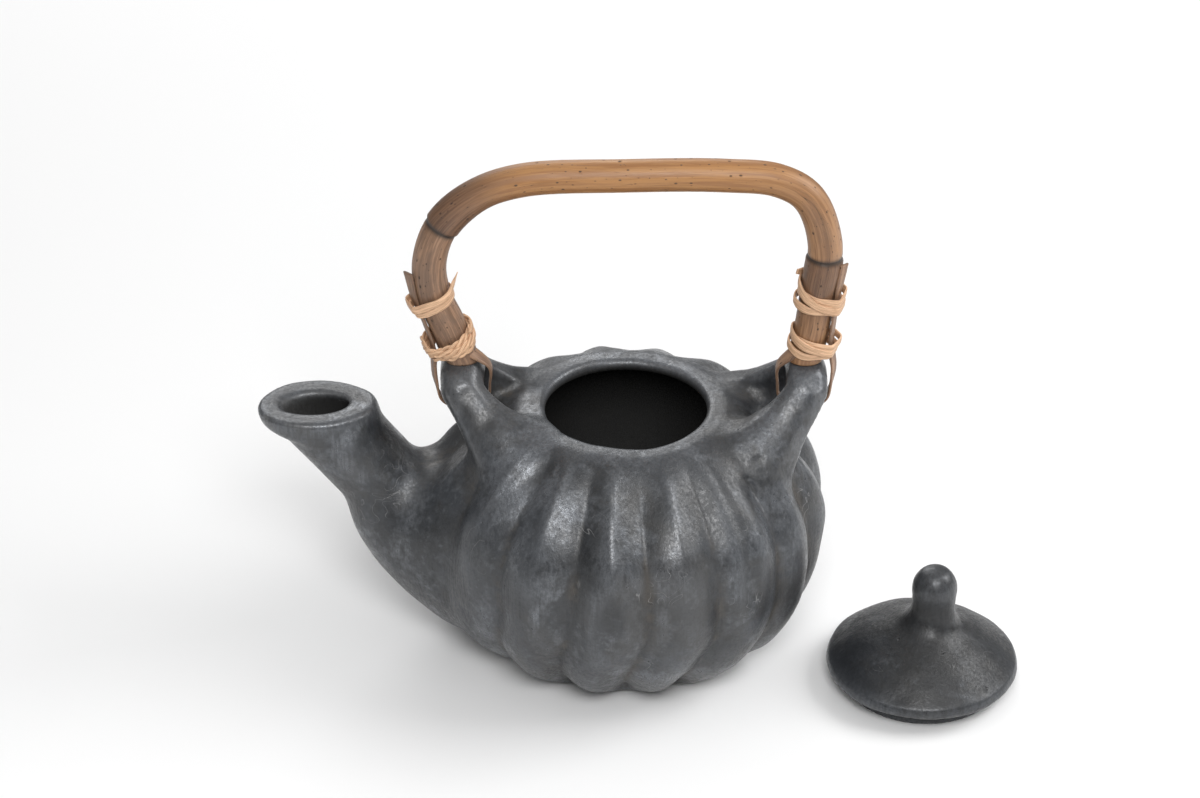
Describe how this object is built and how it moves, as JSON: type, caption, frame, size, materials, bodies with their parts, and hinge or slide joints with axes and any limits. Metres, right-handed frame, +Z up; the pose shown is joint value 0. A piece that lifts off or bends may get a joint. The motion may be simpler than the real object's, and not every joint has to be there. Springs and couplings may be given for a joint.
{
  "type": "pottery kettle",
  "caption": "Ribbed clay kettle with a spout and two arched lugs, a loose knobbed lid beside it, and a bent cane handle lashed on with rattan.",
  "frame": {"origin": "centre of the pot's flat base, on the surface it stands on", "axes": "+Z up along the pot's axis, +X away from the spout and towards the lid, +Y to the pot's far side in the picture"},
  "size_m": [0.3063, 0.161, 0.2168],
  "materials": {
    "burnished_clay": "burnished, smoked blue-grey clay with silvery sheen, scratches and pits",
    "lid_clay": "the same clay, darker, with hand-cut facets",
    "cane": "smooth satin bamboo cane, speckled, darker at the nodes",
    "rattan": "split rattan strip, matt, pale straw"
  },
  "bodies": {
    "pot_body": {"pot": "burnished_clay"},
    "handle_body": {"cane_handle": "cane", "left_lower_tie": "rattan", "left_upper_tie": "rattan", "right_lower_tie": "rattan", "right_upper_tie": "rattan"},
    "lid_body": {"lid": "lid_clay"}
  },
  "joints": [
    {"name": "handle_rock", "type": "hinge", "parent": "pot_body", "child": "handle_body", "pos_m": [0, 0, 0.1095], "axis": [1, 0, 0], "range_deg": [-15, 15]},
    {"name": "lid_lift", "type": "slide", "parent": "pot_body", "child": "lid_body", "axis": [0, 0, 1], "range_m": [0, 0.22]}
  ]
}
